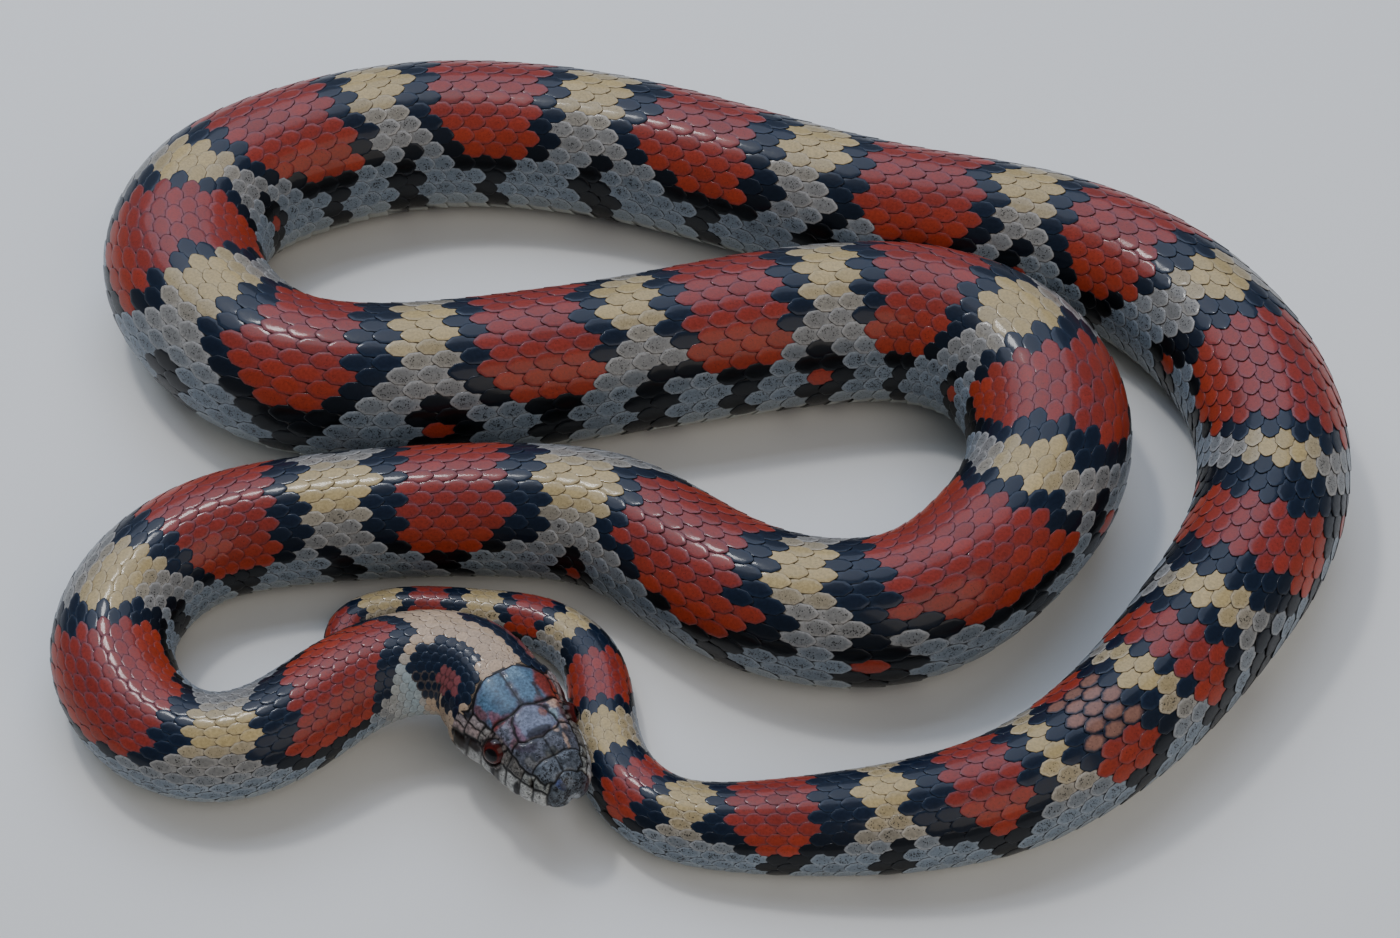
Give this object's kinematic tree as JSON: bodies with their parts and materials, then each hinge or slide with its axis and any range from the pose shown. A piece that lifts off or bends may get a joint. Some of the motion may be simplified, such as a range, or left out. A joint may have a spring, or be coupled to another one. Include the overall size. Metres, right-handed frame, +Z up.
{
  "type": "milk snake model",
  "caption": "Life-size still model of a milk snake lying in loose loops with its head raised over its tail.",
  "frame": {"origin": "on the floor, under the middle of the loops", "axes": "+Z up, +X along the long rows of the coil with the head at -X, -Y towards the viewer of the picture"},
  "size_m": [0.112, 0.0924, 0.0137],
  "materials": {
    "scaled_skin": "smooth glossy scales in red saddles edged with black on a pale ground",
    "eye": "wet and glossy"
  },
  "bodies": {
    "root": {"head": "scaled_skin", "eye_left": "eye", "eye_right": "eye", "neck": "scaled_skin", "trunk_01": "scaled_skin", "trunk_02": "scaled_skin", "trunk_03": "scaled_skin", "trunk_04": "scaled_skin", "trunk_05": "scaled_skin", "trunk_06": "scaled_skin", "trunk_07": "scaled_skin", "trunk_08": "scaled_skin", "trunk_09": "scaled_skin", "trunk_10": "scaled_skin", "trunk_11": "scaled_skin", "trunk_12": "scaled_skin", "trunk_13": "scaled_skin", "tail_1": "scaled_skin", "tail_2": "scaled_skin", "tail_3": "scaled_skin", "tail_4": "scaled_skin"}
  },
  "joints": []
}
